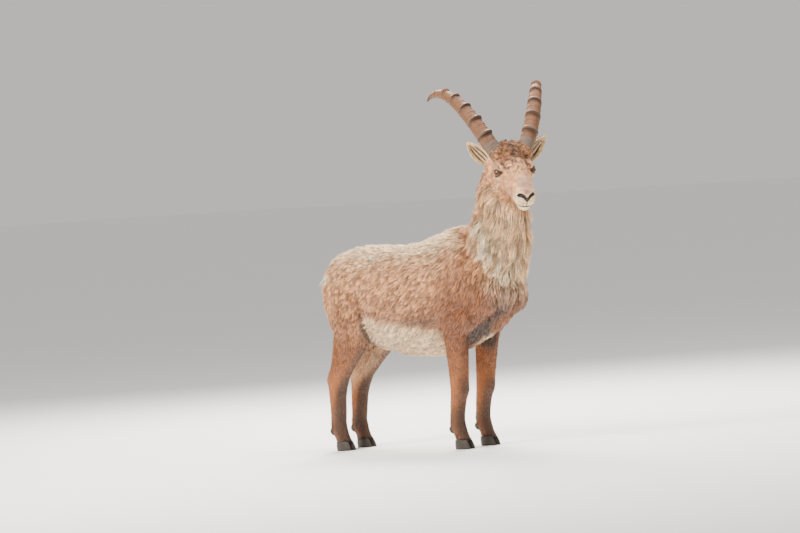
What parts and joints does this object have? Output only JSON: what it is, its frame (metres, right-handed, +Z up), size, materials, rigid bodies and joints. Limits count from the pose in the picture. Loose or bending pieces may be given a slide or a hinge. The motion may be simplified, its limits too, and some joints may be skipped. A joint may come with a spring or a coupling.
{
  "type": "alpine ibex",
  "caption": "Standing young male wild goat with back-curved knobbed horns, a shaggy moulting neck, cloven hooves and its head turned to its right.",
  "frame": {"origin": "on the floor, under the middle of the bounding box", "axes": "+X the way the body faces, +Y the animal's left side, +Z up"},
  "size_m": [1.1364, 0.5072, 1.3228],
  "materials": {
    "coat_body": "short, dry, moulting hair coat, tan to reddish brown",
    "coat_neck": "long, loose, cream and tan hair coat",
    "coat_head": "short hair coat, rough on the forehead",
    "coat_leg": "short, close, dark brown hair coat",
    "coat_tail": "long, dark brown hair tuft",
    "ear": "thin skin with short pale hair",
    "horn": "satin keratin with fine growth lines",
    "eye": "wet, clear-coated",
    "hoof": "satin keratin, worn at the rim"
  },
  "bodies": {
    "root": {"torso": "coat_body", "neck": "coat_neck", "head": "coat_head", "tail": "coat_tail", "foreleg_right": "coat_leg", "hindleg_right": "coat_leg", "ear_right": "ear", "eye_right": "eye", "horn_right": "horn", "forehoof_right_outer": "hoof", "foredewclaw_right_outer": "hoof", "forehoof_right_inner": "hoof", "foredewclaw_right_inner": "hoof", "hindhoof_right_outer": "hoof", "hinddewclaw_right_outer": "hoof", "hindhoof_right_inner": "hoof", "hinddewclaw_right_inner": "hoof", "foreleg_left": "coat_leg", "hindleg_left": "coat_leg", "ear_left": "ear", "eye_left": "eye", "horn_left": "horn", "forehoof_left_outer": "hoof", "foredewclaw_left_outer": "hoof", "forehoof_left_inner": "hoof", "foredewclaw_left_inner": "hoof", "hindhoof_left_outer": "hoof", "hinddewclaw_left_outer": "hoof", "hindhoof_left_inner": "hoof", "hinddewclaw_left_inner": "hoof"}
  },
  "joints": []
}
